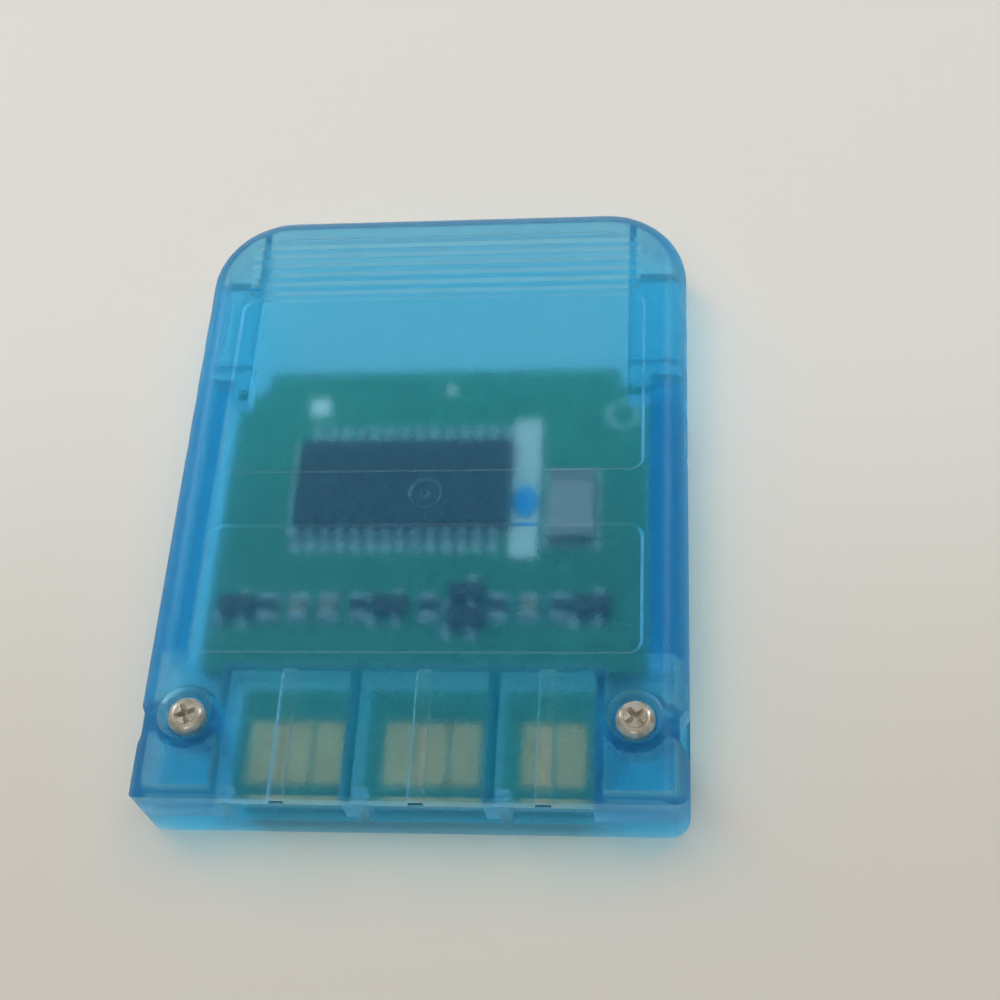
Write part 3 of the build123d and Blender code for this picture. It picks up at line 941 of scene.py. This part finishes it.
@dataclass(frozen=True)
class Lamp:
    """One soft rectangular lamp.

    Attributes:
        name: Its name.
        place: Its place in metres.
        size: Its width and length.
        watts: Its power.
        mirrored: Whether it shows in reflections and through the plastic.
    """

    name: str
    place: tuple[float, float, float]
    size: tuple[float, float]
    watts: float
    mirrored: bool = True

    def build(self) -> None:
        """Hangs the lamp, aimed at the card."""
        light = bpy.data.lights.new(self.name, "AREA")
        light.shape = "RECTANGLE"
        light.size, light.size_y = self.size
        light.energy = self.watts
        made = bpy.data.objects.new(self.name, light)
        made.location = self.place
        made.rotation_euler = (-Vector(self.place)).to_track_quat("-Z", "Y").to_euler()
        made.visible_glossy = self.mirrored
        made.visible_transmission = self.mirrored
        bpy.context.scene.collection.objects.link(made)


@dataclass
class Studio:
    """Pale floor, soft lamps and the camera.

    Attributes:
        floor_paint: Finish of the floor, with painted shade towards the viewer.
        floor_side: Side of the floor in metres.
        floor_gap: Distance of the floor below the card, in millimetres.
        room_low: Colour of the light from all round at the horizon.
        room_high: Its colour overhead.
        room_edge: Height on the sky, from 0 to 1, at which the overhead colour is reached.
        lamps: The lamps.
        camera_place: Place of the camera in millimetres.
        camera_aim: Point that it looks at.
        camera_roll: Its turn about its own axis, in degrees.
        camera_lens: Its focal length on a sensor 36 mm wide.
        camera_near: Distance from which it sees, in millimetres.
    """

    floor_paint: Table = Table()
    floor_side: float = 4.0
    floor_gap: float = 0.05
    room_low: Colour = (0.42, 0.42, 0.42)
    room_high: Colour = (0.07, 0.07, 0.07)
    room_edge: float = 0.6
    lamps: tuple[Lamp, ...] = (
        Lamp("overhead_lamp", (-0.04, 0.1, 0.9), (1.4, 1.4), 8.0, mirrored=False),
        Lamp("key_lamp", (-0.16, 0.1, 0.42), (0.12, 0.12), 0.25, mirrored=False),
        Lamp("left_edge_lamp", (-0.38, 0.3, 0.35), (0.06, 0.3), 0.4),
        Lamp("right_edge_lamp", (0.28, 0.3, 0.44), (0.06, 0.3), 0.4),
        Lamp("far_lamp", (-0.1, 0.9, 0.15), (0.8, 0.1), 0.7),
        Lamp("front_lamp", (-0.1, -0.55, 0.8), (0.25, 0.25), 0.6),
    )
    camera_place: tuple[float, float, float] = (20.654, -65.781, 117.068)
    camera_aim: tuple[float, float, float] = (5.641, -0.444, 4.0)
    camera_roll: float = -11.597
    camera_lens: float = 57.565
    camera_near: float = 1.0

    def build(self) -> None:
        """Builds the studio."""
        self.build_floor()
        self.build_room()
        for lamp in self.lamps:
            lamp.build()
        self.build_camera()

    def build_floor(self) -> None:
        """Lays the floor under the card."""
        shape = bmesh.new()
        bmesh.ops.create_grid(shape, x_segments=1, y_segments=1, size=self.floor_side / 2)
        bmesh.ops.translate(shape, verts=shape.verts, vec=(0, 0, -self.floor_gap * MM))
        mesh = bpy.data.meshes.new("table_top")
        shape.to_mesh(mesh)
        shape.free()
        mesh.materials.append(self.floor_paint.make())
        made = bpy.data.objects.new("table_top", mesh)
        bpy.context.scene.collection.objects.link(made)

    def build_room(self) -> None:
        """Lights the card from all round."""
        world = bpy.data.worlds.new("room")
        world.use_nodes = True
        nodes = world.node_tree.nodes
        links = world.node_tree.links
        heights = nodes.new("ShaderNodeSeparateXYZ")
        links.new(nodes.new("ShaderNodeTexCoord").outputs["Generated"], heights.inputs["Vector"])
        sky = nodes.new("ShaderNodeValToRGB")
        low, high = sky.color_ramp.elements
        low.color = opaque(self.room_low)
        high.color = opaque(self.room_high)
        high.position = self.room_edge
        links.new(heights.outputs["Z"], sky.inputs["Fac"])
        links.new(sky.outputs["Color"], nodes["Background"].inputs["Color"])
        bpy.context.scene.world = world

    def build_camera(self) -> None:
        """Sets the camera at the photograph's place."""
        lens = bpy.data.cameras.new("photo_camera")
        lens.lens = self.camera_lens
        lens.clip_start = self.camera_near * MM
        camera = bpy.data.objects.new("photo_camera", lens)
        place = Vector(self.camera_place) * MM
        sight = Vector(self.camera_aim) * MM - place
        roll = Matrix.Rotation(math.radians(self.camera_roll), 4, "Z")
        aimed = sight.to_track_quat("-Z", "Y").to_matrix().to_4x4()
        camera.matrix_world = Matrix.Translation(place) @ aimed @ roll
        bpy.context.scene.collection.objects.link(camera)
        bpy.context.scene.camera = camera


@dataclass
class Rendering:
    """How light is followed through the plastic.

    Attributes:
        bounces: Most bounces of a ray.
        clear_bounces: Most skins that a ray from a lamp passes.
        clamp: Most light that an indirect ray carries.
    """

    bounces: int = 12
    clear_bounces: int = 24
    clamp: float = 4.0

    def apply(self) -> None:
        """Sets the scene's light paths."""
        scene = bpy.context.scene
        scene.view_settings.view_transform = "Standard"
        cycles = scene.cycles
        cycles.max_bounces = self.bounces
        cycles.transmission_bounces = self.bounces
        cycles.glossy_bounces = self.bounces
        cycles.transparent_max_bounces = self.clear_bounces
        cycles.sample_clamp_indirect = self.clamp
        cycles.caustics_reflective = False
        cycles.use_denoising = True


def main() -> None:
    """Dresses the card, adds its fine pieces and lights it."""
    logging.basicConfig(level=logging.INFO, format="%(name)s: %(message)s")
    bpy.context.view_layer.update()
    CaseHalves().dress()
    CaseScrews().build()
    board = CircuitBoard()
    board.dress()
    board.build()
    Contacts().dress()
    BoardParts().dress()
    LacquerDrop().build()
    Studio().build()
    Rendering().apply()


if __name__ == "__main__":
    main()
